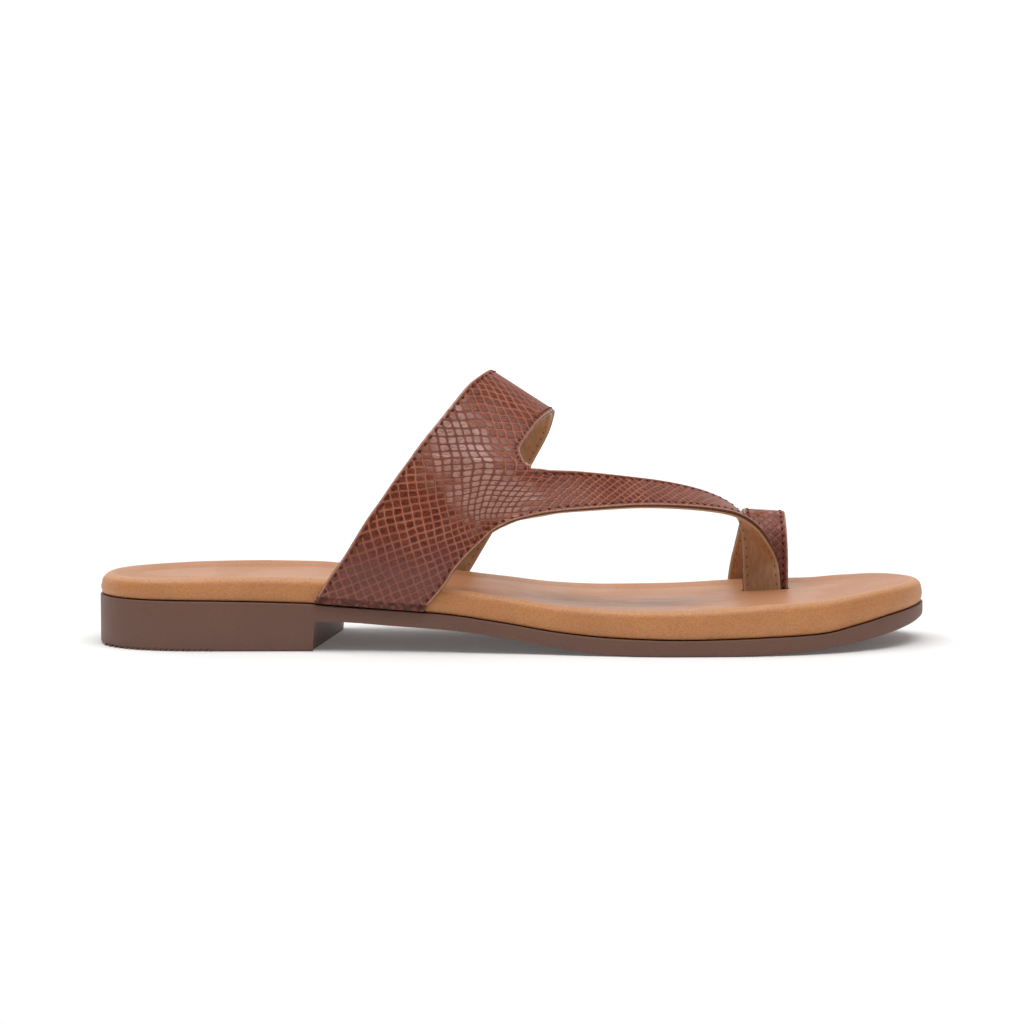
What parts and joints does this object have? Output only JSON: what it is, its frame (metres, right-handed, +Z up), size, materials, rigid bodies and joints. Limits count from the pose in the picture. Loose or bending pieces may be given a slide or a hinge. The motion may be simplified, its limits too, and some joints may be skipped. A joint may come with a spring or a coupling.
{
  "type": "toe loop sandal",
  "caption": "Flat slide sandal with an embossed leather instep band, a diagonal strap to a toe loop, and a padded tan footbed",
  "frame": {"origin": "on the floor under the middle of the sandal's box", "axes": "+X from heel to toe, +Y towards the inner (big toe) side, +Z up"},
  "size_m": [0.255, 0.089, 0.084],
  "materials": {
    "sole": "matt moulded mauve-brown",
    "footbed": "smooth tan, soft sheen",
    "snake": "red-brown, embossed with glossy scales",
    "lining": "matt beige-brown lining",
    "thread": "dark red sewing thread"
  },
  "bodies": {
    "root": {"outsole": "sole", "footbed": "footbed", "upper": "snake", "toe_loop": "snake"}
  },
  "joints": []
}
